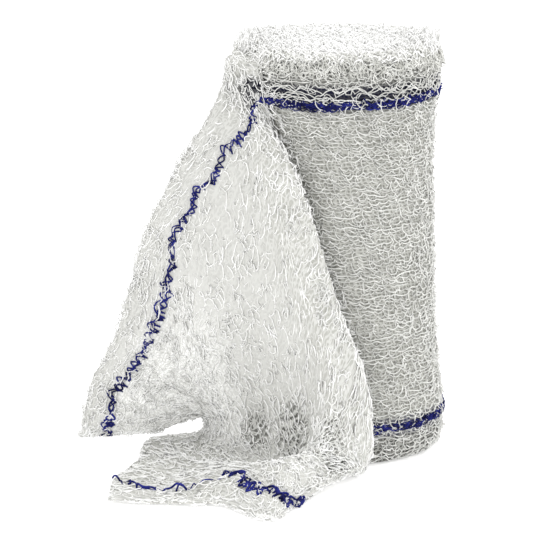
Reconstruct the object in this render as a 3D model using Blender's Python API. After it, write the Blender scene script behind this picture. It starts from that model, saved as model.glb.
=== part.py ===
"""Crepe bandage, 10 cm wide: a roll standing on its end, with its last turn pulled loose.

Metres, +Z up, origin at the centre of the face the roll stands on.
"""
import math

import bmesh
import bpy
import numpy as np

MM = 0.001

# Strip
STRIP_WIDTH = 100.0
LAYER = 1.2
GAP = 0.3

# Roll: outline of the outer turn, from the floor up
PROFILE_COLUMNS = ("height", "radius")
PROFILE = (
    (0.0, 23.4),
    (0.5, 24.5),
    (1.4, 25.3),
    (3.0, 26.0),
    (9.5, 26.3),
    (17.0, 25.6),
    (27.0, 24.6),
    (45.0, 24.0),
    (68.0, 23.6),
    (80.0, 24.1),
    (89.0, 25.1),
    (95.0, 25.4),
    (97.0, 25.0),
    (98.0, 24.2),
)
STEP = LAYER + GAP
LEAVE_GAP = 1.8
ANGLE_STEPS = 54
BODY_STEPS = 20

# Roll: line where the last turn leaves it, degrees from the front towards the left
LINE_COLUMNS = ("height", "angle")
LINE = (
    (0.0, -14.0),
    (10.0, -14.0),
    (22.5, -9.0),
    (38.5, 1.5),
    (56.0, 16.0),
    (74.0, 31.0),
    (88.0, 43.0),
    (98.5, 45.0),
)

# Roll: turns on the top, drawn at twice the pitch of the cloth
TURN_PITCH = 2.3
TURN_HEIGHT = 0.45
CROWN_HEIGHT = 1.7
TOP_RINGS = 32
SHOULDER_RINGS = 3
EYE_RADIUS = 2.0
EYE_DEPTH = 1.2

# Loose end: middle of the cloth, x y z in mm, across the strip from its lower hem to its upper hem
ACROSS_NAMES = ("hem_low", "stripe_low", "ridge", "valley", "fold", "wall", "shoulder", "stripe_top", "hem_top")
ACROSS = (0.0, 9.4, 22.0, 38.0, 46.0, 56.0, 74.0, 88.6, 100.0)
FOLD_COLUMNS = ("name", "along") + ACROSS_NAMES
FOLDS = (
    ("tuck", 5.0,
     (3.5, -26.5, 1.0), (2.0, -28.0, 10.0), (-2.0, -27.0, 22.5), (-7.0, -25.0, 38.5), (-9.0, -24.5, 46.5),
     (-11.5, -23.2, 56.0), (-15.2, -20.8, 74.0), (-18.8, -17.9, 87.5), (-20.0, -14.5, 98.5)),
    ("bulge", 11.0,
     (6.2, -28.6, 1.0), (7.5, -31.0, 10.0), (5.5, -31.0, 25.0), (0.5, -30.5, 38.0), (-2.0, -30.0, 45.5),
     (-5.0, -29.0, 56.0), (-12.0, -25.4, 75.5), (-20.0, -18.4, 86.2), (-23.5, -11.5, 97.0)),
    ("fan", 19.0,
     (4.2, -31.8, 1.0), (5.8, -35.2, 3.0), (2.5, -36.5, 16.0), (-2.5, -34.5, 32.0), (-5.5, -33.5, 40.0),
     (-9.5, -32.0, 50.0), (-16.0, -28.0, 71.0), (-21.5, -20.5, 83.0), (-28.8, -12.0, 87.5)),
    ("belly", 31.0,
     (-1.5, -39.0, 1.0), (3.0, -40.0, 3.5), (-3.5, -47.5, 11.0), (-5.5, -35.5, 17.5), (-8.0, -33.0, 26.5),
     (-12.5, -32.0, 38.5), (-21.0, -27.0, 58.5), (-28.0, -20.0, 74.0), (-37.4, -15.0, 74.0)),
    ("lap", 52.0,
     (-11.2, -62.8, 1.1), (-9.0, -58.5, 4.0), (-11.0, -53.5, 10.0), (-12.0, -35.0, 5.0), (-15.5, -28.0, 13.0),
     (-21.0, -24.0, 23.5), (-32.0, -21.0, 38.5), (-39.5, -17.0, 52.0), (-46.2, -15.0, 53.5)),
    ("bump", 70.0,
     (-19.5, -70.6, 1.0), (-18.5, -61.0, 4.2), (-19.0, -50.5, 7.4), (-22.0, -33.0, 2.6), (-24.0, -24.0, 4.8),
     (-27.5, -18.0, 12.0), (-37.0, -14.0, 22.0), (-45.0, -14.0, 30.0), (-51.8, -12.0, 33.5)),
    ("pleat", 78.0,
     (-28.4, -59.6, 1.0), (-25.5, -52.0, 5.0), (-26.8, -43.0, 5.0), (-27.8, -28.0, 2.6), (-27.4, -19.5, 4.2),
     (-28.5, -15.0, 10.2), (-40.0, -12.8, 18.2), (-48.8, -12.5, 23.2), (-55.8, -10.5, 25.5)),
    ("flap", 86.0,
     (-35.5, -59.0, 1.0), (-34.8, -48.5, 2.2), (-34.0, -35.0, 2.5), (-33.0, -21.5, 2.6), (-31.5, -13.5, 3.4),
     (-29.5, -12.0, 8.6), (-43.0, -11.5, 14.0), (-52.5, -11.0, 16.0), (-59.5, -9.0, 17.0)),
    ("cut", 101.0,
     (-54.0, -55.5, 1.0), (-53.4, -41.0, 1.0), (-48.0, -25.0, 1.6), (-44.0, -6.0, 2.2), (-33.8, -3.0, 2.7),
     (-32.8, -6.6, 8.0), (-45.0, -9.0, 4.5), (-56.2, -9.0, 3.6), (-63.3, -8.0, 2.9)),
)
ALONG_STEPS = 38
SPACING_COLUMNS = ("from", "to", "steps")
SPACING = ((0.0, 22.0, 8), (22.0, 42.0, 5), (42.0, 62.0, 12), (62.0, 84.0, 5), (84.0, 100.0, 5))


# Curves and surfaces

def smooth(stations, values, wanted):
    """Cubic through the values at the stations, its slopes the weighted mean of the two sides."""
    x = np.asarray(stations, float)
    y = np.asarray(values, float)
    shape = (-1,) + (1,) * (y.ndim - 1)
    width = np.diff(x).reshape(shape)
    steps = np.diff(y, axis=0) / width
    slope = np.concatenate([steps[:1], steps[:1].repeat(len(x) - 2, axis=0), steps[-1:]])
    slope[1:-1] = (width[1:] * steps[:-1] + width[:-1] * steps[1:]) / (width[:-1] + width[1:])
    cell = np.clip(np.searchsorted(x, wanted) - 1, 0, len(x) - 2)
    h = width[cell]
    t = (np.asarray(wanted, float) - x[cell]).reshape(shape) / h
    start = (2 * t**3 - 3 * t**2 + 1) * y[cell] + (t**3 - 2 * t**2 + t) * h * slope[cell]
    end = (3 * t**2 - 2 * t**3) * y[cell + 1] + (t**3 - t**2) * h * slope[cell + 1]
    return start + end


def roll_radius(height, turn):
    """Outer radius at a height, turn running 0 to 1 round the roll from the line where the cloth leaves."""
    heights, radii = np.array(PROFILE).T
    swell = 0.18 * np.sin(2 * math.pi * turn * 2 + 0.07 * height) * np.sin(math.pi * turn)
    return np.interp(height, heights, radii) + swell - STEP * turn


def line_angle(height):
    """Angle of the leaving line in degrees."""
    heights, angles = np.array(LINE).T
    return smooth(heights, angles, np.clip(height, heights[0], heights[-1]))


def polar(radius, degrees, height):
    """Point at a radius and angle, the angle measured from the front towards the left."""
    a = np.radians(degrees)
    return np.stack(np.broadcast_arrays(-radius * np.sin(a), -radius * np.cos(a), height), -1)


def leave_row(across):
    """Middle of the cloth where it starts, a gap outside the turn below."""
    height = 1.0 + across * 0.975
    heights, radii = np.array(PROFILE).T
    return polar(np.interp(height, heights, radii) - LAYER / 2, line_angle(height) + LEAVE_GAP, height)


def loose_surface(along, across):
    """Grid of points of the middle of the loose end."""
    folds = np.array([row[2:] for row in FOLDS])
    rows = smooth(ACROSS, folds.swapaxes(0, 1), across).swapaxes(0, 1)
    rows = np.concatenate([leave_row(across)[None], rows])
    stations = (0.0,) + tuple(row[1] for row in FOLDS)
    return smooth(stations, rows, along)


# Meshes

def grid_faces(rows, columns, first=0, flip=False):
    """Four-sided faces of a grid of vertices."""
    r, c = np.meshgrid(np.arange(rows - 1), np.arange(columns - 1), indexing="ij")
    corner = (first + r * columns + c).ravel()
    faces = np.stack([corner, corner + 1, corner + columns + 1, corner + columns], -1)
    return (faces[:, ::-1] if flip else faces).tolist()


def add_object(name, points, faces, material):
    """Object from points in mm."""
    mesh = bpy.data.meshes.new(name)
    mesh.from_pydata((np.asarray(points) * MM).tolist(), [], faces)
    mesh.materials.append(material)
    mesh.update()
    thing = bpy.data.objects.new(name, mesh)
    bpy.context.scene.collection.objects.link(thing)
    return thing


def weld(thing):
    """Join points that coincide, where the two ends of a ring meet."""
    body = bmesh.new()
    body.from_mesh(thing.data)
    bmesh.ops.remove_doubles(body, verts=body.verts, dist=0.01 * MM)
    body.to_mesh(thing.data)
    body.free()


def shade(thing):
    """Smooth shading, sharp at real edges."""
    mesh = thing.data
    mesh.shade_smooth()
    mesh.set_sharp_from_angle(angle=math.radians(50.0))


def build_roll(material):
    """Body, top and foot of the roll as rings that run from the leaving line round to it again."""
    turn = np.linspace(0.0, 1.0, ANGLE_STEPS + 1)
    top = PROFILE[-1][0]
    fixed = np.array([row[0] for row in PROFILE])
    heights = np.unique(np.concatenate([fixed, np.linspace(0.0, top, BODY_STEPS)]).round(2))
    heights = heights[np.concatenate([[True], np.diff(heights) > 0.35])]
    rings = []
    for height in heights:
        degrees = line_angle(height) - 360.0 * turn
        rings.append(polar(roll_radius(height, turn), degrees, height))
    degrees = line_angle(top) - 360.0 * turn
    rim = roll_radius(top, turn)
    inner = PROFILE[-1][1] - STEP - 0.3
    for k in range(1, TOP_RINGS):
        if k < SHOULDER_RINGS:
            radius = rim + (inner - rim) * k / SHOULDER_RINGS
        else:
            radius = inner * (1.0 - (k - SHOULDER_RINGS) / (TOP_RINGS - SHOULDER_RINGS))
        depth = k * PROFILE[-1][1] / TOP_RINGS
        rise = CROWN_HEIGHT * min(1.0, depth / 9.0) ** 0.6
        fade = np.clip((inner - radius) / 1.5, 0.0, 1.0) * np.clip((radius - EYE_RADIUS) / 1.5, 0.0, 1.0)
        ridge = TURN_HEIGHT * fade * np.cos(2 * math.pi * ((inner - radius) / TURN_PITCH - turn))
        eye = EYE_DEPTH * np.clip(1.0 - radius / EYE_RADIUS, 0.0, 1.0)
        rings.append(polar(radius, degrees, top + rise + ridge - eye))
    rings = np.array(rings)
    points = rings.reshape(-1, 3)
    column = ANGLE_STEPS + 1
    faces = grid_faces(len(rings), column)
    foot = len(points)
    hub = foot + 1
    points = np.concatenate([points, [(0.0, 0.0, 0.0)], [(0.0, 0.0, top + CROWN_HEIGHT - EYE_DEPTH)]])
    last = (len(rings) - 1) * column
    for k in range(ANGLE_STEPS):
        faces.append([foot, k + 1, k])
        faces.append([hub, last + k, last + k + 1])
    # Step of the outer turn: the first and last column of each ring, joined
    faces.append([foot, 0, ANGLE_STEPS])
    for k in range(len(heights) - 1 + SHOULDER_RINGS):
        faces.append([k * column + ANGLE_STEPS, k * column, (k + 1) * column, (k + 1) * column + ANGLE_STEPS])
    thing = add_object("roll", points, faces, material)
    weld(thing)
    shade(thing)
    return thing


def build_loose_end(material):
    """Sheet of even thickness about the folded surface."""
    along = np.linspace(0.0, FOLDS[-1][1], ALONG_STEPS)
    across = np.concatenate([np.linspace(start, end, steps, endpoint=False) for start, end, steps in SPACING])
    across = np.append(across, STRIP_WIDTH)
    middle = loose_surface(along, across)
    du = np.gradient(middle, along, axis=0)
    dv = np.gradient(middle, across, axis=1)
    normal = np.cross(du, dv)
    normal /= np.linalg.norm(normal, axis=2, keepdims=True)
    front = (middle + normal * LAYER / 2).reshape(-1, 3)
    back = (middle - normal * LAYER / 2).reshape(-1, 3)
    rows, columns = middle.shape[:2]
    count = rows * columns
    faces = grid_faces(rows, columns, flip=True) + grid_faces(rows, columns, first=count)
    index = np.arange(count).reshape(rows, columns)
    edge = np.concatenate([index[0, :-1], index[:-1, -1], index[-1, :0:-1], index[:0:-1, 0]])
    for a, b in zip(edge.tolist(), np.roll(edge, -1).tolist()):
        faces.append([a, b, b + count, a + count])
    thing = add_object("loose_end", np.concatenate([front, back]), faces, material)
    shade(thing)
    return thing


def crepe(name, red, green, blue):
    """Cotton crepe, matt."""
    material = bpy.data.materials.new(name)
    material.use_nodes = True
    shader = material.node_tree.nodes["Principled BSDF"]
    shader.inputs["Base Color"].default_value = (red, green, blue, 1.0)
    shader.inputs["Roughness"].default_value = 0.95
    return material


# Build
for old in list(bpy.data.objects):
    bpy.data.objects.remove(old)
build_roll(crepe("roll", 0.62, 0.62, 0.59))
build_loose_end(crepe("loose_end", 0.78, 0.78, 0.76))
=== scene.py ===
"""Crepe bandage: a roll of open crinkled cotton weave with two blue lines, its last turn pulled loose."""
import math

import bpy
import numpy as np
from bpy.props import FloatProperty, FloatVectorProperty, IntProperty, PointerProperty
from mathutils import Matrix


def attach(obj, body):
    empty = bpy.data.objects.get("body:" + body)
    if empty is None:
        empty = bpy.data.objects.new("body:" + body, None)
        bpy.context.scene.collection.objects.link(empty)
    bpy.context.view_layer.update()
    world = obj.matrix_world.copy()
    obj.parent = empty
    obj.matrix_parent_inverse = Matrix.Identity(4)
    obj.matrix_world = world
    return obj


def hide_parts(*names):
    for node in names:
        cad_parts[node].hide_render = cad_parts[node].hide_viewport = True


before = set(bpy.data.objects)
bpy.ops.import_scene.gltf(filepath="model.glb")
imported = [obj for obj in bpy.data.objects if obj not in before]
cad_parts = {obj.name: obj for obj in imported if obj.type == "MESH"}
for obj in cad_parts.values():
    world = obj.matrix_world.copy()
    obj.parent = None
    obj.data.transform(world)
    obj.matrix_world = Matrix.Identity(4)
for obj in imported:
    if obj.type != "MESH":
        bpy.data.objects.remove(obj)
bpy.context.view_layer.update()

bl_info = {
    "name": "Crepe Bandage",
    "version": (1, 0, 0),
    "blender": (4, 5, 0),
    "location": "3D View > Sidebar > Bandage",
    "description": "A roll of crepe bandage in real yarns, with its loose end draped in front of it",
    "category": "Add Mesh",
}

MM = 0.001

# Strip, in mm: its width, a turn's thickness, and the step where the last turn ends
STRIP_WIDTH = 100.0
LAYER = 1.2
STEP = 1.5

# Strip on the roll, in mm: a turn's length and radius, heights of the hems, blue lines and open band,
# and how far down and up the yarns go
TURN_LENGTH = 154.0
MEAN_RADIUS = 24.5
HEM_HEIGHTS = (1.0, 98.5)
BLUE_HEIGHTS = (9.3, 88.3)
OPEN_BAND = 90.9
YARN_LIMITS = (0.3, 98.2)

# Roll: outline of the outer turn, from the floor up
PROFILE_COLUMNS = ("height", "radius")
PROFILE = (
    (0.0, 23.4), (0.5, 24.5), (1.4, 25.3), (3.0, 26.0), (9.5, 26.3), (17.0, 25.6), (27.0, 24.6),
    (45.0, 24.0), (68.0, 23.6), (80.0, 24.1), (89.0, 25.1), (95.0, 25.4), (97.0, 25.0), (98.0, 24.2),
)

# Roll: line where the last turn leaves it, degrees from the front towards the left, and the gap beside it
LINE_COLUMNS = ("height", "angle")
LINE = (
    (0.0, -14.0), (10.0, -14.0), (22.5, -9.0), (38.5, 1.5),
    (56.0, 16.0), (74.0, 31.0), (88.0, 43.0), (98.5, 45.0),
)
LEAVE_GAP = 1.8

# Roll: top
TOP = 98.0
CROWN_HEIGHT = 1.7
EYE_RADIUS = 2.0

# Loose end: middle of the cloth, x y z in mm, across the strip from its lower hem to its upper hem
ACROSS_NAMES = (
    "hem_low", "stripe_low", "ridge", "valley", "fold", "wall", "shoulder", "stripe_top", "hem_top",
)
ACROSS = (0.0, 9.4, 22.0, 38.0, 46.0, 56.0, 74.0, 88.6, 100.0)
FOLD_COLUMNS = ("name", "along") + ACROSS_NAMES
FOLDS = (
    ("tuck", 5.0,
     (3.5, -26.5, 1.0), (2.0, -28.0, 10.0), (-2.0, -27.0, 22.5), (-7.0, -25.0, 38.5), (-9.0, -24.5, 46.5),
     (-11.5, -23.2, 56.0), (-15.2, -20.8, 74.0), (-18.8, -17.9, 87.5), (-20.0, -14.5, 98.5)),
    ("bulge", 11.0,
     (6.2, -28.6, 1.0), (7.5, -31.0, 10.0), (5.5, -31.0, 25.0), (0.5, -30.5, 38.0), (-2.0, -30.0, 45.5),
     (-5.0, -29.0, 56.0), (-12.0, -25.4, 75.5), (-20.0, -18.4, 86.2), (-23.5, -11.5, 97.0)),
    ("fan", 19.0,
     (4.2, -31.8, 1.0), (5.8, -35.2, 3.0), (2.5, -36.5, 16.0), (-2.5, -34.5, 32.0), (-5.5, -33.5, 40.0),
     (-9.5, -32.0, 50.0), (-16.0, -28.0, 71.0), (-21.5, -20.5, 83.0), (-28.8, -12.0, 87.5)),
    ("belly", 31.0,
     (-1.5, -39.0, 1.0), (3.0, -40.0, 3.5), (-3.5, -47.5, 11.0), (-5.5, -35.5, 17.5), (-8.0, -33.0, 26.5),
     (-12.5, -32.0, 38.5), (-21.0, -27.0, 58.5), (-28.0, -20.0, 74.0), (-37.4, -15.0, 74.0)),
    ("lap", 52.0,
     (-11.2, -62.8, 1.1), (-9.0, -58.5, 4.0), (-11.0, -53.5, 10.0), (-12.0, -35.0, 5.0), (-15.5, -28.0, 13.0),
     (-21.0, -24.0, 23.5), (-32.0, -21.0, 38.5), (-39.5, -17.0, 52.0), (-46.2, -15.0, 53.5)),
    ("bump", 70.0,
     (-19.5, -70.6, 1.0), (-18.5, -61.0, 4.2), (-19.0, -50.5, 7.4), (-22.0, -33.0, 2.6), (-24.0, -24.0, 4.8),
     (-27.5, -18.0, 12.0), (-37.0, -14.0, 22.0), (-45.0, -14.0, 30.0), (-51.8, -12.0, 33.5)),
    ("pleat", 78.0,
     (-28.4, -59.6, 1.0), (-25.5, -52.0, 5.0), (-26.8, -43.0, 5.0), (-27.8, -28.0, 2.6), (-27.4, -19.5, 4.2),
     (-28.5, -15.0, 10.2), (-40.0, -12.8, 18.2), (-48.8, -12.5, 23.2), (-55.8, -10.5, 25.5)),
    ("flap", 86.0,
     (-35.5, -59.0, 1.0), (-34.8, -48.5, 2.2), (-34.0, -35.0, 2.5), (-33.0, -21.5, 2.6), (-31.5, -13.5, 3.4),
     (-29.5, -12.0, 8.6), (-43.0, -11.5, 14.0), (-52.5, -11.0, 16.0), (-59.5, -9.0, 17.0)),
    ("cut", 101.0,
     (-54.0, -55.5, 1.0), (-53.4, -41.0, 1.0), (-48.0, -25.0, 1.6), (-44.0, -6.0, 2.2), (-33.8, -3.0, 2.7),
     (-32.8, -6.6, 8.0), (-45.0, -9.0, 4.5), (-56.2, -9.0, 3.6), (-63.3, -8.0, 2.9)),
)
CUT_ALONG = FOLDS[-1][1]
LATTICE_START = -3.0
HEM_RIPPLE = 0.55
EAR_REACH = 3.2
EAR_ALONG = 9.5

# Blue lines on the loose end: where each run lies on it, in mm along and across
BLUE_COLUMNS = ("along", "across")
BLUE_TOP = (
    (-3.0, 89.6), (1.5, 89.8), (5.0, 88.9), (13.2, 88.2), (19.5, 87.7), (24.8, 88.0), (28.0, 89.2),
    (31.8, 88.2), (35.2, 87.4), (38.8, 89.2), (45.0, 88.5), (49.5, 90.2), (52.8, 88.0), (61.0, 87.1),
    (68.0, 88.3), (78.5, 87.7), (89.0, 89.6), (95.0, 88.6), (100.8, 89.2),
)
BLUE_FOOT = ((-3.0, 9.4), (5.0, 8.6), (11.0, 5.0), (16.0, 0.6))
BLUE_FRONT = (
    (48.0, 0.8), (52.5, 2.5), (59.0, 5.4), (62.0, 8.0), (64.5, 10.4), (67.0, 10.8), (71.0, 8.8), (74.5, 9.8),
    (78.2, 11.4),
)
BLUE_SPECKS = ((77.5, 11.6), (80.0, 9.6), (83.0, 8.4), (86.5, 6.6))
BLUE_CORNER = ((86.5, 6.6), (89.5, 5.4), (92.2, 6.6), (94.0, 5.4), (96.8, 6.8), (98.8, 8.6), (101.2, 9.5))

# Threads of each run: swing and pitch in mm, dip into the cloth in mm, thickness in yarns
BLUE_RUN_COLUMNS = ("run", "threads", "swing", "pitch", "dip", "thickness")
BLUE_RUNS = (
    (BLUE_TOP, 2, 1.5, 2.3, 0.12, 1.3),
    (BLUE_FRONT, 3, 1.6, 3.4, 0.15, 1.8),
    (BLUE_CORNER, 2, 0.8, 2.6, 0.8, 1.6),
    (BLUE_FOOT, 2, 0.6, 2.3, 0.12, 1.3),
    (BLUE_TOP[8:], 1, 1.5, 2.3, 0.12, 1.3),
    (BLUE_SPECKS, 2, 0.6, 2.0, 0.7, 1.0),
)

# Colour of the gaps between the yarns, painted grey as the shade that falls between and under them, by mm
# across the strip, and the share of under yarns seen there
TONE_COLUMNS = ("across", "colour", "share")
# The blue lines of the turns below show through the open net above the upper line, their navy deepened by
# painted shade; the bands at the foot and under the top rim are darker still as painted shade
ROLL_PAINTED_GAP_SHADE = (
    (0.0, "#454542", 0.7), (6.5, "#50504D", 0.7), (7.6, "#3A3C56", 0.5), (10.6, "#45475C", 0.5),
    (12.0, "#888882", 1.0), (86.0, "#888882", 1.0), (87.4, "#15172C", 0.1), (92.2, "#15172C", 0.1),
    (93.6, "#6A6A66", 0.6), (98.0, "#7E7E79", 0.8),
)
TURN_EDGE_TONES = ((0.0, "#F4F4F2", 1.0), (125.0, "#F8F8F6", 1.0))
# Gaps of the loose end, painted light grey as the shade between its yarns
LOOSE_PAINTED_GAP_SHADE = (
    (0.0, "#C2C2BE", 1.0), (8.0, "#BEBEB9", 1.0), (50.0, "#C6C6C2", 1.0), (85.0, "#C4C4C0", 1.0),
    (100.0, "#BEBEBA", 1.0),
)

# Places of the loose end painted lighter or darker than the rest, and more open, in mm
PATCH_COLUMNS = ("along", "across", "half_length", "half_width", "colour", "share")
LOOSE_PAINTED_LIGHT_AND_SHADE = (
    # Darker over the first stretch off the roll
    (8.0, 50.0, 26.0, 75.0, "#B2B2AC", 1.0),
    # Painted shade on the tongue under the wing
    (85.0, 24.0, 30.0, 30.0, "#A6A6A0", 1.0),
    # Painted light on the lower wing
    (80.0, 70.0, 34.0, 28.0, "#F8F8F6", 0.8),
    # At the apex the navy of the blue line below shows through the open net, deepened by painted shade
    (7.0, 91.8, 12.0, 4.4, "#0C0E1E", 0.12),
    # Painted shade in the pocket behind the lower lip, the net more open there so that it shows in specks
    (60.0, 46.5, 8.0, 6.0, "#6A6A66", 0.8),
    (45.0, 40.0, 12.0, 8.0, "#5A5A56", 0.95),
    (30.0, 24.0, 12.0, 9.0, "#6E6E6A", 1.0),
    (35.0, 14.0, 9.0, 6.0, "#484844", 0.9),
)


# Curves and surfaces

def smooth(stations, values, wanted):
    """Cubic through the values at the stations, its slopes the weighted mean of the two sides."""
    x = np.asarray(stations, float)
    y = np.asarray(values, float)
    wanted = np.asarray(wanted, float)
    tail = (1,) * (y.ndim - 1)
    width = np.diff(x).reshape((-1,) + tail)
    steps = np.diff(y, axis=0) / width
    slope = np.concatenate([steps[:1], steps[:1].repeat(len(x) - 2, axis=0), steps[-1:]])
    slope[1:-1] = (width[1:] * steps[:-1] + width[:-1] * steps[1:]) / (width[:-1] + width[1:])
    cell = np.clip(np.searchsorted(x, wanted) - 1, 0, len(x) - 2)
    h = width[cell]
    t = (wanted - x[cell]).reshape(wanted.shape + tail) / h
    start = (2 * t**3 - 3 * t**2 + 1) * y[cell] + (t**3 - 2 * t**2 + t) * h * slope[cell]
    end = (3 * t**2 - 2 * t**3) * y[cell + 1] + (t**3 - t**2) * h * slope[cell + 1]
    return start + end


def roll_radius(height, turn):
    """Outer radius: the outline, a slow swell, and one step less after a whole turn."""
    heights, radii = np.array(PROFILE).T
    swell = 0.18 * np.sin(2 * math.pi * turn * 2 + 0.07 * height) * np.sin(math.pi * turn)
    return np.interp(height, heights, radii) + swell - STEP * turn


def line_angle(height):
    """Angle of the leaving line in degrees."""
    heights, angles = np.array(LINE).T
    return smooth(heights, angles, np.clip(height, heights[0], heights[-1]))


def polar(radius, degrees, height):
    """Point at a radius and angle, the angle measured from the front towards the left."""
    a = np.radians(degrees)
    return np.stack(np.broadcast_arrays(-radius * np.sin(a), -radius * np.cos(a), height), -1)


def roll_point(turn, height, out=0.0):
    """Point of the roll's side: turn 0 to 1 from the leaving line to the right, out from its surface."""
    radius = roll_radius(height, turn) + out
    return polar(radius, line_angle(height) - 360.0 * turn, height)


def top_height(radius):
    """Height of the roll's end at a radius: the rim, a crown that rises inwards, and a small eye."""
    depth = np.clip(PROFILE[-1][1] - radius, 0.0, None)
    rise = CROWN_HEIGHT * np.minimum(1.0, depth / 9.0) ** 0.6
    return TOP + rise - 1.2 * np.clip(1.0 - radius / EYE_RADIUS, 0.0, 1.0)


def height_on_roll(across):
    """Height at which a distance across the strip lies on the roll, from its lower to its upper hem."""
    low, high = HEM_HEIGHTS
    return low + across * ((high - low) / STRIP_WIDTH)


def leave_row(across):
    """Middle of the cloth where it starts, a gap outside the turn below."""
    height = height_on_roll(across)
    heights, radii = np.array(PROFILE).T
    return polar(np.interp(height, heights, radii) - LAYER / 2, line_angle(height) + LEAVE_GAP, height)


def loose_rows(across):
    """Points of every fold row at each distance across."""
    folds = np.array([row[2:] for row in FOLDS])
    rows = smooth(ACROSS, folds.swapaxes(0, 1), across).swapaxes(0, 1)
    return np.concatenate([leave_row(across)[None], rows])


def loose_lattice():
    """Fine grid of points and normals that yarns are laid on, its first 3 mm on the roll before the leaving
    line."""
    along = np.linspace(LATTICE_START, CUT_ALONG, 417)
    across = np.linspace(0.0, STRIP_WIDTH, 401)
    stations = (0.0,) + tuple(row[1] for row in FOLDS)
    points = smooth(stations, loose_rows(across), np.maximum(along, 0.0))
    # Both hems reach out and draw back by a little, as slack hems do
    for edge, seed in ((0.0, 91), (STRIP_WIDTH, 92)):
        outward = np.gradient(points, across, axis=1) * (1.0 if edge else -1.0)
        ripple = HEM_RIPPLE * grain(seed, 1, len(along), 0.4, 34.0)[0] * np.clip(along / 8.0, 0.0, 1.0)
        points += outward * ripple[:, None, None] * np.exp(-((across - edge) / 3.5)**2)[None, :, None]
    points[..., 2] = np.maximum(points[..., 2], 0.6)
    # The upper hem stands out to the left where it leaves the roll
    near_place = np.exp(-((along - EAR_ALONG) / 5.0)**2)[:, None]
    near_hem = np.exp(-((across - STRIP_WIDTH) / 8.0)**2)[None, :]
    points[..., 0] -= EAR_REACH * (near_place * near_hem)
    before = along < 0.0
    turn = -along[before][:, None] / TURN_LENGTH
    points[before] = roll_point(turn, height_on_roll(across)[None, :], out=-0.1)
    normals = np.cross(np.gradient(points, across, axis=1), np.gradient(points, along, axis=0))
    normals /= np.linalg.norm(normals, axis=2, keepdims=True)
    return points, normals


def on_lattice(grid, along, across):
    """Value of the fine grid at distances in mm along and across the strip, mixed from the four nearest."""
    r = np.clip((along - LATTICE_START) / (CUT_ALONG - LATTICE_START), 0.0, 1.0) * (grid.shape[0] - 1)
    c = np.clip(across / STRIP_WIDTH, 0.0, 1.0) * (grid.shape[1] - 1)
    i = np.minimum(r.astype(int), grid.shape[0] - 2)
    j = np.minimum(c.astype(int), grid.shape[1] - 2)
    a = (r - i)[..., None]
    b = (c - j)[..., None]
    near = grid[i, j] * (1 - b) + grid[i, j + 1] * b
    far = grid[i + 1, j] * (1 - b) + grid[i + 1, j + 1] * b
    return near * (1 - a) + far * a


def yarn_height(along, across, noise):
    """Height of the loose yarns off the middle of the cloth: proud on the bulge, half sunk on the belly,
    level on the wing, lower in the open net and proud at the foot."""
    places = (6.0, 10.0, 15.0, 23.0, 42.0, 58.0)
    rise = np.interp(along, places, (0.22, 0.26, 0.20, -0.26, -0.14, 0.04))
    swing = np.interp(along, places, (0.30, 0.32, 0.34, 0.42, 0.42, 0.42))
    net = np.exp(-((along - 6.0) / 8.0)**2 - ((across - 92.0) / 3.0)**2)
    foot = np.exp(-(across / 34.0)**4)
    return rise - 0.1 * net + foot * np.clip(0.08 - rise, 0.0, None) + (swing - 0.1 * foot) * noise


def curled_yarns(lattice, along, across, off, thick):
    """Yarns at along and across on the loose end, off in mm out from its middle."""
    points, facing = lattice
    normals = on_lattice(facing, along, across)
    paths = on_lattice(points, along, across) + normals * off[..., None]
    paths[..., 2] = np.maximum(paths[..., 2], thick / 2)
    return yarn_mesh(paths, normals, thick)


def roll_yarns(turn, height, out, thick):
    """Yarns at turn and height on the roll's side, out in mm from its surface, kept between its two ends."""
    turn = np.clip(turn, 0.0, 1.0)
    height = np.clip(height, *YARN_LIMITS)
    normals = polar(1.0, line_angle(height) - 360.0 * turn, 0.0 * height)
    return yarn_mesh(roll_point(turn, height, out), normals, thick)


def slack_threads(lattice, run, level, ahead, aside, off, thick):
    """Threads about one run on the loose end, moved in mm along it, square to it on the cloth and off it."""
    points, facing = lattice
    middle = on_lattice(points, run, level)
    normal = on_lattice(facing, run, level)
    forward = np.gradient(middle, axis=0)
    forward /= np.linalg.norm(forward, axis=1, keepdims=True)
    side = np.cross(normal, forward)
    paths = middle + forward * ahead[..., None] + side * aside[..., None] + normal * off[..., None]
    paths[..., 2] = np.maximum(paths[..., 2], thick / 2)
    return yarn_mesh(paths, np.broadcast_to(normal, paths.shape), thick)


# Randomness

def grain(seed, rows, columns, row_reach, column_reach):
    """Smooth noise of unit spread: white noise blurred over row_reach rows and column_reach samples."""
    white = np.random.default_rng(seed).standard_normal((rows, columns))
    fr = np.fft.fftfreq(rows)[:, None] * row_reach
    fc = np.fft.rfftfreq(columns)[None, :] * column_reach
    blur = np.exp(-2 * math.pi**2 * (fr**2 + fc**2) * 0.16)
    field = np.fft.irfft2(np.fft.rfft2(white) * blur, s=(rows, columns))
    return field / field.std()


def curls(seed, yarns, steps, step_length, pitch, size):
    """Offsets along and across of overtwisted yarns: a circle of uneven size, turned once in each pitch."""
    phase = 2 * math.pi * np.arange(steps) * step_length / pitch + 2.2 * grain(seed, yarns, steps, 0.4, 9.0)
    phase = phase + np.random.default_rng(seed).uniform(0.0, 2 * math.pi, (yarns, 1))
    reach = size * np.clip(1.0 + 0.5 * grain(seed + 1, yarns, steps, 0.4, 7.0), 0.1, 2.2)
    return reach * np.cos(phase), reach * np.sin(phase)


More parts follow.
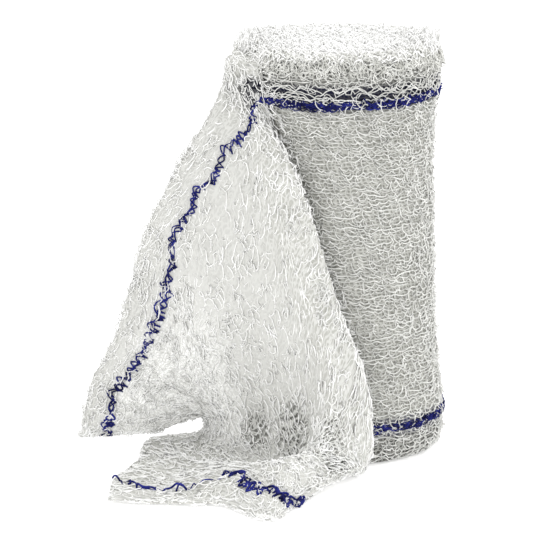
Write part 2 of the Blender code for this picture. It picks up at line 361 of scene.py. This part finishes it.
def zigzag(seed, yarns, steps, step_length, pitch, size):
    """Offsets along and across of slack edge threads: leaning turns from side to side that double back on
    themselves, a slower swing that parts one thread from the next, and a fine shake."""
    run = np.arange(steps) * step_length
    thread = np.arange(yarns)[:, None]
    phase = 2 * math.pi * run / pitch + 1.8 * grain(seed, yarns, steps, 0.4, 30.0) + 2.1 * thread
    swing = 2 * math.pi * run / (2.4 * pitch) + math.pi * thread + grain(seed + 3, 1, steps, 1.0, 40.0)
    reach = size * np.clip(0.75 + 0.3 * grain(seed + 1, yarns, steps, 0.4, 30.0), 0.4, 1.3)
    aside = reach * 2 / math.pi * np.arcsin(0.97 * np.sin(phase)) + 0.35 * size * np.sin(swing)
    ahead = 0.24 * reach * np.cos(phase + 0.4) + 0.6 * grain(seed + 2, yarns, steps, 0.4, 14.0)
    aside = aside + 0.16 * grain(seed + 4, yarns, steps, 0.4, 7.0)
    return ahead, aside


# Meshes

def grid_faces(rows, columns, flip=False):
    """Four-sided faces of a grid of vertices."""
    r, c = np.meshgrid(np.arange(rows - 1), np.arange(columns - 1), indexing="ij")
    corner = (r * columns + c).ravel()
    faces = np.stack([corner, corner + 1, corner + columns + 1, corner + columns], -1)
    return faces[:, ::-1] if flip else faces


def add_piece(name, points, faces, material, uv=None, end_material=None, end_start=0):
    """Object at the origin from points in mm and faces, those from end_start on in a second material."""
    mesh = bpy.data.meshes.new(name)
    mesh.from_pydata((np.asarray(points).reshape(-1, 3) * MM).tolist(), [], [tuple(f) for f in faces])
    mesh.materials.append(material)
    if end_material:
        mesh.materials.append(end_material)
        index = (np.arange(len(mesh.polygons)) >= end_start).astype(int)
        mesh.polygons.foreach_set("material_index", index)
    if uv is not None:
        corner = np.empty(len(mesh.loops), int)
        mesh.loops.foreach_get("vertex_index", corner)
        layer = mesh.uv_layers.new(name="weave")
        layer.data.foreach_set("uv", np.asarray(uv, float).reshape(-1, 2)[corner].ravel())
    mesh.shade_smooth()
    mesh.update()
    piece = bpy.data.objects.new(name, mesh)
    bpy.context.scene.collection.objects.link(piece)
    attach(piece, "root")
    return piece


def yarn_mesh(paths, normals, thick):
    """Three-sided tubes: a triangle turned about each path, its frame from the path and the cloth's normal.

    paths and normals are (yarns, points, 3); thick is the yarn's thickness, one value or one per point.
    """
    yarns, steps = paths.shape[:2]
    forward = np.gradient(paths, axis=1)
    forward /= np.maximum(np.linalg.norm(forward, axis=2, keepdims=True), 1e-9)
    side = np.cross(forward, normals)
    side /= np.maximum(np.linalg.norm(side, axis=2, keepdims=True), 1e-9)
    up = np.cross(side, forward)
    radius = np.broadcast_to(np.asarray(thick, float) / 2, (yarns, steps))[..., None]
    rim = []
    for degrees in (90.0, 210.0, 330.0):
        a = math.radians(degrees)
        rim.append(paths + radius * (math.sin(a) * up + math.cos(a) * side))
    points = np.stack(rim, 2)
    base = np.arange(yarns)[:, None, None] * steps * 3 + np.arange(steps - 1)[None, :, None] * 3
    around = np.arange(3)[None, None, :]
    nxt = (around + 1) % 3
    quads = np.stack([base + around, base + 3 + around, base + 3 + nxt, base + nxt], -1).reshape(-1, 4)
    start = np.arange(yarns) * steps * 3
    caps = np.concatenate([
        np.stack([start, start + 1, start + 2], -1),
        np.stack([start + steps * 3 - 1, start + steps * 3 - 2, start + steps * 3 - 3], -1),
    ])
    return points.reshape(-1, 3), quads.tolist() + caps.tolist()


def merged(parts):
    """Points and faces of several meshes as one."""
    points = []
    faces = []
    count = 0
    for part_points, part_faces in parts:
        points.append(part_points)
        faces += [[v + count for v in face] for face in part_faces]
        count += len(part_points)
    return np.concatenate(points), faces


# Materials

def linear(hex_colour):
    """sRGB hex to linear RGBA."""
    values = [int(hex_colour[i:i + 2], 16) / 255 for i in (1, 3, 5)]
    return tuple(v / 12.92 if v <= 0.04045 else ((v + 0.055) / 1.055) ** 2.4 for v in values) + (1.0,)


def add_node(tree, kind, settings=None, links=None):
    """Node of a kind with its settings, inputs among them, and its input links."""
    node = tree.nodes.new(kind)
    for key, value in (settings or {}).items():
        if isinstance(key, int) or key in node.inputs:
            node.inputs[key].default_value = value
        else:
            setattr(node, key, value)
    for key, source in (links or {}).items():
        tree.links.new(source, node.inputs[key])
    return node


def new_material(name):
    """Material with an empty tree and its Principled shader."""
    material = bpy.data.materials.new(name)
    material.use_nodes = True
    tree = material.node_tree
    tree.nodes.clear()
    shader = add_node(tree, "ShaderNodeBsdfPrincipled")
    out = add_node(tree, "ShaderNodeOutputMaterial")
    tree.links.new(shader.outputs[0], out.inputs["Surface"])
    return material, tree, shader


def cotton_yarn(name, light, dark, sheen=0.25):
    """Twisted cotton crepe yarn: matt, off-white, a little lighter and darker every few millimetres."""
    material, tree, shader = new_material(name)
    place = add_node(tree, "ShaderNodeTexCoord")
    # Twist and slubs: 2.5 mm patches of tone, 0.4 mm fibres
    where = {"Vector": place.outputs["Object"]}
    patch = add_node(tree, "ShaderNodeTexNoise", {"Scale": 400.0, "Detail": 3.0}, where)
    ramp = add_node(tree, "ShaderNodeValToRGB", links={"Fac": patch.outputs["Fac"]})
    ramp.color_ramp.elements[0].position = 0.35
    ramp.color_ramp.elements[1].position = 0.65
    ramp.color_ramp.elements[0].color = linear(dark)
    ramp.color_ramp.elements[1].color = linear(light)
    fibre = add_node(tree, "ShaderNodeTexNoise", {"Scale": 2500.0, "Detail": 2.0}, where)
    bump = add_node(tree, "ShaderNodeBump", {"Strength": 0.3, "Distance": 0.0001},
                    {"Height": fibre.outputs["Fac"]})
    tree.links.new(ramp.outputs["Color"], shader.inputs["Base Color"])
    tree.links.new(bump.outputs["Normal"], shader.inputs["Normal"])
    shader.inputs["Roughness"].default_value = 0.9
    shader.inputs["Specular IOR Level"].default_value = 0.2
    shader.inputs["Sheen Weight"].default_value = sheen
    shader.inputs["Sheen Roughness"].default_value = 0.5
    return material


def under_weave(name, light, warp_pitch, weft_pitch, wander, bands, painted_patches=()):
    """Cloth under the outer yarns: bands of yarn at the weave's own pitches, wandering, over gaps painted
    dark as the shade between the yarns.

    bands are rows of TONE_COLUMNS and the patches rows of PATCH_COLUMNS, places of painted light and shade,
    each patch fading out to its edge.
    """
    material, tree, shader = new_material(name)
    place = add_node(tree, "ShaderNodeUVMap", {"uv_map": "weave"})
    where = {"Vector": place.outputs["UV"]}
    # UV is in mm, and a band repeats each 2 pi / (20 scale)
    once_a_mm = 0.314
    warp = add_node(tree, "ShaderNodeTexWave",
                    {"bands_direction": "Y", "Scale": once_a_mm / warp_pitch, "Distortion": wander,
                     "Detail": 2.0, "Detail Scale": 0.9, "Detail Roughness": 0.7}, where)
    weft = add_node(tree, "ShaderNodeTexWave",
                    {"bands_direction": "X", "Scale": once_a_mm / weft_pitch, "Distortion": wander * 2.0,
                     "Detail": 2.0, "Detail Scale": 1.1, "Detail Roughness": 0.7}, where)
    yarns = add_node(tree, "ShaderNodeMath", {"operation": "MAXIMUM"},
                     {0: warp.outputs["Fac"], 1: weft.outputs["Fac"]})
    cover = add_node(tree, "ShaderNodeMapRange", {"From Min": 0.45, "From Max": 0.95},
                     {"Value": yarns.outputs[0]})
    parts = add_node(tree, "ShaderNodeSeparateXYZ", links={0: place.outputs["UV"]})
    reach = STRIP_WIDTH * 1.25
    share = add_node(tree, "ShaderNodeMath", {"operation": "DIVIDE", 1: reach}, {0: parts.outputs["Y"]})
    tone = add_node(tree, "ShaderNodeValToRGB", links={"Fac": share.outputs[0]})
    stops = tone.color_ramp.elements
    for position, hex_colour, share_seen in bands:
        stop = stops.new(position / reach)
        stop.color = linear(hex_colour)[:3] + (share_seen,)
    stops.remove(stops[0])
    stops.remove(stops[-1])
    gap = tone.outputs["Color"]
    seen = add_node(tree, "ShaderNodeMath", {"operation": "MULTIPLY"},
                    {0: cover.outputs[0], 1: tone.outputs["Alpha"]})
    # Each patch mixes painted light or shade into the gap colour and lets fewer under yarns show
    for along, across, half_length, half_width, hex_colour, share_seen in painted_patches:
        at = add_node(tree, "ShaderNodeMapping",
                      {"vector_type": "TEXTURE", "Location": (along, across, 0.0),
                       "Scale": (half_length, half_width, 1.0)}, where)
        near = add_node(tree, "ShaderNodeTexGradient", {"gradient_type": "SPHERICAL"},
                        {"Vector": at.outputs[0]})
        painted_patch_mask = add_node(tree, "ShaderNodeMapRange", {"From Max": 0.5},
                            {"Value": near.outputs["Fac"]})
        mix = add_node(tree, "ShaderNodeMix", {"data_type": "RGBA", 7: linear(hex_colour)},
                       {0: painted_patch_mask.outputs[0], 6: gap})
        gap = mix.outputs[2]
        left = add_node(tree, "ShaderNodeMapRange", {"From Max": 0.5, "To Min": 1.0, "To Max": share_seen},
                        {"Value": near.outputs["Fac"]})
        seen = add_node(tree, "ShaderNodeMath", {"operation": "MULTIPLY"},
                        {0: seen.outputs[0], 1: left.outputs[0]})
    colour = add_node(tree, "ShaderNodeMix", {"data_type": "RGBA", 7: linear(light)},
                      {0: seen.outputs[0], 6: gap})
    bump = add_node(tree, "ShaderNodeBump", {"Strength": 0.35, "Distance": 0.0003},
                    {"Height": yarns.outputs[0]})
    tree.links.new(colour.outputs[2], shader.inputs["Base Color"])
    tree.links.new(bump.outputs["Normal"], shader.inputs["Normal"])
    shader.inputs["Roughness"].default_value = 0.95
    shader.inputs["Specular IOR Level"].default_value = 0.1
    return material


def pale_board(name, colour):
    """Matt pale board, with the faintest grain."""
    material, tree, shader = new_material(name)
    place = add_node(tree, "ShaderNodeTexCoord")
    tooth = add_node(tree, "ShaderNodeTexNoise", {"Scale": 800.0}, {"Vector": place.outputs["Object"]})
    bump = add_node(tree, "ShaderNodeBump", {"Strength": 0.05, "Distance": 0.0001},
                    {"Height": tooth.outputs["Fac"]})
    tree.links.new(bump.outputs["Normal"], shader.inputs["Normal"])
    shader.inputs["Base Color"].default_value = colour
    shader.inputs["Roughness"].default_value = 0.9
    shader.inputs["Specular IOR Level"].default_value = 0.0
    # Lit from below, so that shadows are faint
    shader.inputs["Emission Color"].default_value = colour
    shader.inputs["Emission Strength"].default_value = 0.4
    return material


# Settings

class BandageSettings(bpy.types.PropertyGroup):
    """Yarns of the cloth, in mm, and how many show on the roll's end."""

    yarn: FloatProperty(
        name="Yarn", description="Thickness of a yarn in mm", default=0.36, min=0.1, max=1.0)
    warp_pitch: FloatProperty(
        name="Warp pitch", description="Distance in mm between yarns that run along the strip",
        default=1.06, min=0.5, max=4.0)
    weft_pitch: FloatProperty(
        name="Weft pitch", description="Distance in mm between the yarns across the strip",
        default=1.25, min=0.5, max=4.0)
    turns: IntProperty(
        name="Turns", description="Turns of cloth seen on the roll's end", default=20, min=4, max=40)
    loops: IntProperty(
        name="Loops", description="Stray loops of yarn on the roll's top", default=1800, min=0)
    fuzz: IntProperty(
        name="Fuzz", description="Longer loose curls round the roll's rim", default=1100, min=0)


class StageSettings(bpy.types.PropertyGroup):
    """Light and floor."""

    key_power: FloatProperty(
        name="Key light", description="Power that each light takes a share of", default=5.5, min=0.0,
        unit="POWER")
    fill: FloatProperty(
        name="Fill", description="Strength of the even light from all round", default=0.66, min=0.0)
    board: FloatVectorProperty(
        name="Board", description="Colour of the floor", subtype="COLOR", default=(0.97, 0.97, 0.97),
        min=0.0, max=1.0)


# Operators

class BANDAGE_OT_stage(bpy.types.Operator):
    """Floor, lights and camera"""

    bl_idname = "bandage.stage"
    bl_label = "Stage"

    def execute(self, context):
        settings = context.scene.bandage_stage
        scene = context.scene
        mesh = bpy.data.meshes.new("floor")
        mesh.from_pydata([(-6, -6, 0), (6, -6, 0), (6, 6, 0), (-6, 6, 0)], [], [(0, 1, 2, 3)])
        mesh.materials.append(pale_board("pale_board", tuple(settings.board) + (1.0,)))
        floor = bpy.data.objects.new("floor", mesh)
        scene.collection.objects.link(floor)

        world = bpy.data.worlds.new("studio")
        world.use_nodes = True
        back = world.node_tree.nodes["Background"]
        back.inputs["Color"].default_value = (1.0, 1.0, 1.0, 1.0)
        back.inputs["Strength"].default_value = settings.fill
        scene.world = world

        for name, place, size, power in (
            ("overhead", (0.10, 0.10, 1.1), 1.5, settings.key_power * 1.8),
            ("right", (1.1, -0.5, 0.6), 1.0, settings.key_power * 0.6),
            ("front", (-0.5, -1.4, 0.25), 0.9, settings.key_power * 1.2),
        ):
            light = bpy.data.lights.new(name, "AREA")
            light.shape = "DISK"
            light.size = size
            light.energy = power
            lamp = bpy.data.objects.new(name, light)
            lamp.location = place
            away = np.array(place) - np.array((0.0, 0.0, 0.05))
            flat = math.hypot(away[0], away[1])
            lamp.rotation_euler = (math.atan2(flat, away[2]), 0.0, math.atan2(away[0], -away[1]))
            scene.collection.objects.link(lamp)

        # Telephoto view from 13 degrees above, 1.1 m away, its focal length in pixels of a square frame
        rise = math.radians(13.2)
        distance = 1.1
        focal_pixels = 4521.0
        frame_pixels = 554.0
        camera = bpy.data.cameras.new("camera")
        camera.sensor_width = 36.0
        camera.lens = focal_pixels / frame_pixels * camera.sensor_width
        camera.clip_end = 20.0
        view = bpy.data.objects.new("camera", camera)
        view.location = (-0.01467, -distance * math.cos(rise), 0.041 + distance * math.sin(rise))
        view.rotation_euler = (math.pi / 2 - rise, 0.0, 0.0)
        scene.collection.objects.link(view)
        scene.camera = view
        scene.view_settings.view_transform = "Standard"
        return {"FINISHED"}


class BANDAGE_OT_roll(bpy.types.Operator):
    """Wound body: the turns under the outer yarns, and at its top one ridge for each turn"""

    bl_idname = "bandage.roll"
    bl_label = "Roll"

    def execute(self, context):
        columns = 181
        turn = np.linspace(0.0, 1.0, columns)
        heights = np.concatenate([[0.0], np.linspace(0.5, TOP, 60)])
        side = roll_point(turn[None, :], heights[:, None], out=-0.5)
        length = turn * 2 * math.pi * MEAN_RADIUS
        side_uv = np.stack(np.broadcast_arrays(length[None, :], heights[:, None]), -1)

        # End: a spiral of ridges
        fraction = np.linspace(1.0, 0.0, 91)[1:]
        rim = roll_radius(TOP, turn) - 0.5
        radius = fraction[:, None] * rim[None, :]
        ridge = np.cos(2 * math.pi * (radius / LAYER + turn[None, :]))
        lift = 0.2 * ridge * np.clip((rim - radius) / 1.5, 0.0, 1.0) * np.clip(radius - EYE_RADIUS, 0.0, 1.0)
        end = polar(radius, line_angle(TOP) - 360.0 * turn[None, :], top_height(radius) + lift - 0.35)
        end_uv = np.stack([np.broadcast_to(length, radius.shape), TOP + (rim[None, :] - radius)], -1)
        rings = np.concatenate([np.zeros((1, columns, 3)), side, end])
        # The weave goes on under the foot to its middle
        foot_uv = np.stack([length, np.full(columns, -24.0)], -1)
        uv = np.concatenate([foot_uv[None], side_uv, end_uv])
        # One row of faces each ring, its last face closing it over the step
        corner = np.arange(len(rings) - 1)[:, None] * columns + np.arange(columns)[None, :]
        nxt = corner - np.arange(columns) + (np.arange(columns) + 1) % columns
        faces = np.stack([corner, nxt, nxt + columns, corner + columns], -1).reshape(-1, 4).tolist()
        # Under yarns of the side painted grey as the shade under the outer yarns, over the painted shade of
        # the gaps
        material = under_weave("crepe_under_turns_painted_shade", "#B6B6B1", 0.8, 1.2, 5.0, ROLL_PAINTED_GAP_SHADE)
        edges = under_weave("crepe_turn_edges", "#FFFFFF", 1.06, 2.6, 5.0, TURN_EDGE_TONES)
        piece = add_piece("roll_turns", rings, faces, material, uv, edges, len(heights) * columns)
        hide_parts("roll")
        return {"FINISHED"}


class BANDAGE_OT_roll_yarns(bpy.types.Operator):
    """Outer turn's yarns: crimped warp round the roll, looser weft up it, both dipping into the turn below"""

    bl_idname = "bandage.roll_yarns"
    bl_label = "Roll yarns"

    def execute(self, context):
        settings = context.scene.bandage
        # Yarn of the roll's side, a darker copy of the loose end's yarn: painted shade on the side
        material = cotton_yarn("crepe_yarn_wound_painted_shade", "#F5F5F2", "#DBDBD7")

        # Warp: one yarn each pitch of height, bent by its own noise and drawn together by a shared one
        count = int(96.0 / (settings.warp_pitch * 0.84))
        steps = 271
        spread = np.linspace(0.0, 1.0, count)[:, None]
        base = np.interp(spread, (0.0, 0.927, 0.936, 1.0), (0.9, 89.4, 92.6, 97.6))
        ahead, aside = curls(101, count, steps, TURN_LENGTH / (steps - 1), 2.5, 0.36)
        aside = aside * (1.0 + 1.8 * np.exp(-((base - OPEN_BAND) / 1.3)**2))
        height = base + aside + 0.22 * grain(2, count, steps, 2.0, 5.0)
        height = height + 0.24 * grain(5, count, steps, 9.0, 8.0)
        ahead = ahead + 0.3 * grain(3, count, steps, 0.5, 6.0)
        turn = np.linspace(0.0, 1.0, steps)[None, :] + ahead / TURN_LENGTH
        out = 0.30 * grain(4, count, steps, 0.4, 3.2) - 0.28
        points, faces = roll_yarns(turn, height, out, settings.yarn)
        piece = add_piece("roll_warp", points, faces, material)

        # Weft: yarns up the roll, more of them hidden, some slack over the blue lines, few in the open band
        count = int(TURN_LENGTH / (settings.weft_pitch * 1.5))
        steps = 221
        base = (np.arange(count)[:, None] + 0.5) / count
        ahead, aside = curls(105, count, steps, 97.0 / (steps - 1), 2.3, 0.6)
        turn = base + (aside + 0.9 * grain(6, count, steps, 0.6, 10.0)) / TURN_LENGTH
        height = np.linspace(0.6, 97.6, steps)[None, :] + ahead
        out = 0.34 * grain(8, count, steps, 0.4, 3.0) - 0.38
        slack = np.clip(grain(9, count, 1, 0.4, 1.0) + 0.2, 0.0, 1.0) * 0.9
        for centre in BLUE_HEIGHTS:
            out = out + slack * np.exp(-((height - centre) / 1.6)**2)
        out = out - 0.7 * np.exp(-((height - OPEN_BAND - 0.1) / 1.2)**4) * (np.arange(count)[:, None] % 3 > 0)
        parts = [roll_yarns(turn, height, out, settings.yarn * 0.75)]

        # Stray warp yarns in the open band above the upper blue line, swinging over its whole height
        count = 6
        steps = 301
        height = OPEN_BAND + np.linspace(-1.0, 1.2, count)[:, None] + 0.9 * grain(151, count, steps, 0.4, 9.0)
        height = height + curls(152, count, steps, 0.51, 3.0, 0.25)[1]
        turn = np.linspace(0.0, 1.0, steps)[None, :] * np.ones((count, 1))
        out = 0.25 * grain(155, count, steps, 0.4, 8.0)
        parts.append(roll_yarns(turn, height, out, settings.yarn * 0.85))
        points, faces = merged(parts)
        piece = add_piece("roll_weft", points, faces, material)
        return {"FINISHED"}


class BANDAGE_OT_roll_end(bpy.types.Operator):
    """Edges of the turns on the roll's top, the stray loops that stand on them and the curls of its rim"""

    bl_idname = "bandage.roll_end"
    bl_label = "Roll end"

    def execute(self, context):
        settings = context.scene.bandage
        # Yarn of the roll's top, near white with little change of tone: painted light falling from above
        material = cotton_yarn("crepe_yarn_hem_painted_light", "#FFFFFE", "#FAFAF8", sheen=0.5)
        outer = PROFILE[-1][1] + 0.3
        widest = 25.3

        # Spiral: edge yarn of every turn, laid in runs of equal length
        runs = 240
        steps = 26
        place = np.sqrt(np.linspace(0.002, 0.998, runs * (steps - 1) + 1))
        index = np.arange(runs)[:, None] * (steps - 1) + np.arange(steps)[None, :]
        radius = outer * place[index] + 0.25 * grain(20, runs, steps, 0.3, 2.5)
        height = top_height(radius) + 0.3 + 0.35 * grain(24, runs, steps, 0.3, 2.5)
        paths = polar(radius, 360.0 * settings.turns * place[index], height)
        up = np.zeros_like(paths)
        up[..., 2] = 1.0
        parts = [yarn_mesh(paths, up, settings.yarn)]

        # Loops: arcs that leave the end, lean over at random and come back to it, higher near the rim
        rng = np.random.default_rng(31)
        count = settings.loops
        steps = 9
        spot = np.sqrt(rng.uniform(0.0, 1.0, count))
        degrees = rng.uniform(0.0, 360.0, count)
        heading = rng.uniform(0.0, 2 * math.pi, count)
        span = rng.uniform(0.8, 3.0, count)
        high = rng.uniform(0.3, 1.3, count) * (1.0 + 2.8 * (spot * np.sin(np.radians(degrees)))**4)
        t = np.linspace(0.0, 1.0, steps)[None, :]
        flat = np.stack([np.cos(heading), np.sin(heading), np.zeros(count)], -1)[:, None, :]
        lean = np.stack([-np.sin(heading), np.cos(heading), np.zeros(count)], -1)[:, None, :]
        start = polar(outer * spot, degrees, top_height(outer * spot))[:, None, :]
        wave = np.sin(2 * math.pi * t + rng.uniform(0, 6.28, count)[:, None])[..., None]
        paths = start + flat * ((t - 0.5) * span[:, None])[..., None] + lean * wave * 0.35
        far = np.hypot(paths[..., 0], paths[..., 1])
        arc = np.sin(math.pi * t) * high[:, None]
        paths[..., 2] += arc + top_height(far) - top_height(outer * spot)[:, None]
        paths[..., :2] *= np.minimum(1.0, widest / np.maximum(far, 1e-6))[..., None]
        up = np.zeros_like(paths)
        up[..., 2] = 1.0
        up[..., 0] = 0.2
        parts.append(yarn_mesh(paths, up, settings.yarn * 0.85))
        points, faces = merged(parts)
        piece = add_piece("roll_top_loops", points, faces, material)

        # Rim: curls that lie over the edge and down to the blue line, each a few mm of overtwisted yarn
        count = settings.fuzz
        steps = 15
        turn = rng.uniform(0.0, 1.0, count)[:, None]
        slide = rng.uniform(-2.0, 4.2, count)[:, None]
        length = np.linspace(-1.0, 1.0, steps)[None, :] * rng.uniform(1.0, 2.6, count)[:, None]
        tilt = rng.normal(0.0, 0.7, count)[:, None]
        ahead, aside = curls(131, count, steps, 0.3, 2.2, 0.55)
        down = slide + length * np.sin(tilt) + aside
        turn = turn + (length * np.cos(tilt) + ahead) / TURN_LENGTH
        out = 0.1 + 0.55 * np.abs(grain(133, count, steps, 0.4, 3.0))
        bend = 1.6
        angle = np.clip(down / bend, -0.2, math.pi / 2)
        over = np.clip(-down, 0.0, None)
        below = np.clip(down - bend * math.pi / 2, 0.0, None)
        height = TOP - bend + (bend + out) * np.cos(angle) - below + 0.5
        radius = roll_radius(np.clip(height, 0.0, TOP), np.clip(turn, 0.0, 1.0)) - bend - over
        radius = radius + (bend + out) * np.sin(angle)
        degrees = line_angle(np.clip(height, 0.0, TOP)) - 360.0 * turn
        normals = polar(np.sin(angle), degrees, np.cos(angle))
        points, faces = yarn_mesh(polar(radius, degrees, height), normals, settings.yarn * 0.9)
        # Rim curls in a darker copy of the yarn: painted shade where they hang over the edge
        material = cotton_yarn("crepe_yarn_rim_painted_shade", "#EFEFEB", "#CFCFC9", sheen=0.3)
        piece = add_piece("roll_rim_curls", points, faces, material)
        return {"FINISHED"}


class BANDAGE_OT_loose_end(bpy.types.Operator):
    """Loose end: thin cloth, its curled yarns, and the slack yarns of its hems and cut edge"""

    bl_idname = "bandage.loose_end"
    bl_label = "Loose end"

    def execute(self, context):
        settings = context.scene.bandage
        lattice = loose_lattice()

        # Cloth: a sheet 0.4 mm thick about the middle, gently puckered
        half_thick = 0.2
        rows = 105
        columns = 103
        along = np.linspace(0.0, CUT_ALONG, rows)[:, None] * np.ones((1, columns))
        across = np.linspace(0.0, STRIP_WIDTH, columns)[None, :] * np.ones((rows, 1))
        facing = on_lattice(lattice[1], along, across)
        pucker = 0.12 * grain(40, rows, columns, 2.5, 2.5)
        middle = on_lattice(lattice[0], along, across) + facing * pucker[..., None]
        count = rows * columns
        faces = grid_faces(rows, columns).tolist()
        faces += (grid_faces(rows, columns, flip=True) + count).tolist()
        index = np.arange(count).reshape(rows, columns)
        edge = np.concatenate([index[0, :-1], index[:-1, -1], index[-1, :0:-1], index[:0:-1, 0]])
        ahead = np.roll(edge, -1)
        faces += np.stack([edge, edge + count, ahead + count, ahead], -1).tolist()
        uv = np.stack([along, across], -1)
        # Cloth under the loose yarns painted light grey as the shade under them, with its patches of painted
        # light and shade
        material = under_weave("crepe_loose_cloth_painted_shade", "#CDCDC9", 1.3, 1.6, 12.0, LOOSE_PAINTED_GAP_SHADE, LOOSE_PAINTED_LIGHT_AND_SHADE)
        points = np.concatenate([middle + facing * half_thick, middle - facing * half_thick])
        cloth = add_piece("loose_cloth", points, faces, material, np.concatenate([uv, uv]))
        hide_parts("loose_end")

        # Warp and weft: the relaxed yarns curl more than on the roll
        material = cotton_yarn("crepe_yarn_loose", "#FFFFFE", "#EEEEEB", sheen=0.3)
        count = int(98.0 / settings.warp_pitch)
        steps = 251
        span = CUT_ALONG - LATTICE_START
        ahead, aside = curls(141, count, steps, span / (steps - 1), 2.4, 0.7)
        across = np.linspace(0.6, 99.4, count)[:, None] + aside + 0.55 * grain(42, count, steps, 2.0, 7.0)
        along = LATTICE_START + np.linspace(0.0, span, steps)[None, :] + ahead
        off = yarn_height(along, across, grain(44, count, steps, 0.4, 3.0))
        points, faces = curled_yarns(lattice, along, across, off, settings.yarn)
        warp = add_piece("loose_warp", points, faces, material)

        count = int(CUT_ALONG / settings.weft_pitch)
        steps = 251
        ahead, aside = curls(145, count, steps, 100.0 / (steps - 1), 2.4, 0.75)
        along = np.linspace(0.6, CUT_ALONG - 0.6, count)[:, None] + aside
        along = along + 0.6 * grain(46, count, steps, 2.0, 7.0)
        across = np.linspace(0.0, STRIP_WIDTH, steps)[None, :] + ahead
        off = yarn_height(along, across, grain(48, count, steps, 0.4, 3.0))
        points, faces = curled_yarns(lattice, np.maximum(along, 0.0), across, off, settings.yarn * 0.9)
        weft = add_piece("loose_weft", points, faces, material)

        # Hems and cut edge: slack yarns that curl out past the cloth
        parts = []
        count = 5
        steps = 521
        run = np.linspace(0.5, CUT_ALONG - 0.3, steps)
        for level, seed in ((0.5, 201), (STRIP_WIDTH - 0.5, 211)):
            ahead, aside = curls(seed, count, steps, run[1] - run[0], 1.9, 0.62)
            aside = aside + 0.3 * grain(seed + 5, count, steps, 1.0, 40.0)
            off = 0.25 * grain(seed + 3, count, steps, 0.4, 5.0)
            parts.append(slack_threads(lattice, run, np.full(steps, level), ahead, aside, off,
                                       settings.yarn * 0.85))
        run = np.linspace(0.5, STRIP_WIDTH - 0.5, steps)
        ahead, aside = curls(221, count, steps, run[1] - run[0], 2.1, 0.5)
        off = 0.25 * grain(223, count, steps, 0.4, 5.0)
        parts.append(slack_threads(lattice, np.full(steps, CUT_ALONG - 0.4), run, ahead, aside, off,
                                   settings.yarn * 0.85))
        points, faces = merged(parts)
        fringe = add_piece("loose_hems", points, faces, material)

        return {"FINISHED"}


class BANDAGE_OT_blue_lines(bpy.types.Operator):
    """Blue threads: a close band on the roll, open curls on the loose end"""

    bl_idname = "bandage.blue_lines"
    bl_label = "Blue lines"

    def execute(self, context):
        settings = context.scene.bandage
        material = cotton_yarn("blue_thread", "#2C3288", "#0D1040", sheen=0.0)
        count = 8
        steps = 420
        parts = []
        for line, centre in enumerate(BLUE_HEIGHTS):
            ahead, aside = curls(161 + 4 * line, count, steps, TURN_LENGTH / (steps - 1), 2.4, 0.46)
            sway = 0.2 * grain(66 + line, 1, steps, 1, 16.0)
            height = np.linspace(-0.7, 0.7, count)[:, None] + centre + aside + sway
            turn = np.linspace(0.0, 1.0, steps)[None, :] + ahead / TURN_LENGTH
            out = 0.22 * grain(68 + line, count, steps, 0.4, 2.5) + 0.10
            parts.append(roll_yarns(turn, height, out, settings.yarn * 0.9))
        points, faces = merged(parts)
        band = add_piece("roll_blue_lines", points, faces, material)

        lattice = loose_lattice()
        parts = []
        spacing = 0.16
        for line, (table, count, size, pitch, dip, thick) in enumerate(BLUE_RUNS):
            places, levels = np.array(table).T
            steps = int((places[-1] - places[0]) / spacing)
            run = np.linspace(places[0], places[-1], steps)
            size = size * np.interp(run, (-3.0, 16.0, 30.0), (0.3, 0.5, 1.0))
            ahead, aside = zigzag(181 + 4 * line, count, steps, spacing, pitch, size)
            off = 0.60 + dip * (grain(76 + line, count, steps, 0.4, 6.0) - 1.0)
            parts.append(slack_threads(lattice, run, smooth(places, levels, run), ahead, aside, off,
                                       settings.yarn * thick))
        points, faces = merged(parts)
        threads = add_piece("loose_blue_lines", points, faces, material)
        return {"FINISHED"}


class BANDAGE_PT_panel(bpy.types.Panel):
    """Lists the bandage's pieces"""

    bl_idname = "BANDAGE_PT_panel"
    bl_label = "Crepe bandage"
    bl_space_type = "VIEW_3D"
    bl_region_type = "UI"
    bl_category = "Bandage"

    def draw(self, context):
        for settings, names in (
            (context.scene.bandage, ("yarn", "warp_pitch", "weft_pitch", "turns", "loops", "fuzz")),
            (context.scene.bandage_stage, ("key_power", "fill", "board")),
        ):
            for name in names:
                self.layout.prop(settings, name)
        for operator in OPERATORS:
            self.layout.operator(operator.bl_idname)


OPERATORS = (
    BANDAGE_OT_stage,
    BANDAGE_OT_roll,
    BANDAGE_OT_roll_yarns,
    BANDAGE_OT_roll_end,
    BANDAGE_OT_loose_end,
    BANDAGE_OT_blue_lines,
)
CLASSES = (BandageSettings, StageSettings) + OPERATORS + (BANDAGE_PT_panel,)


def register():
    for item in CLASSES:
        bpy.utils.register_class(item)
    bpy.types.Scene.bandage = PointerProperty(type=BandageSettings)
    bpy.types.Scene.bandage_stage = PointerProperty(type=StageSettings)


def unregister():
    del bpy.types.Scene.bandage_stage
    del bpy.types.Scene.bandage
    for item in reversed(CLASSES):
        bpy.utils.unregister_class(item)


def main():
    register()
    bpy.ops.bandage.stage()
    bpy.ops.bandage.roll()
    bpy.ops.bandage.roll_yarns()
    bpy.ops.bandage.roll_end()
    bpy.ops.bandage.loose_end()
    bpy.ops.bandage.blue_lines()


if __name__ == "__main__":
    main()
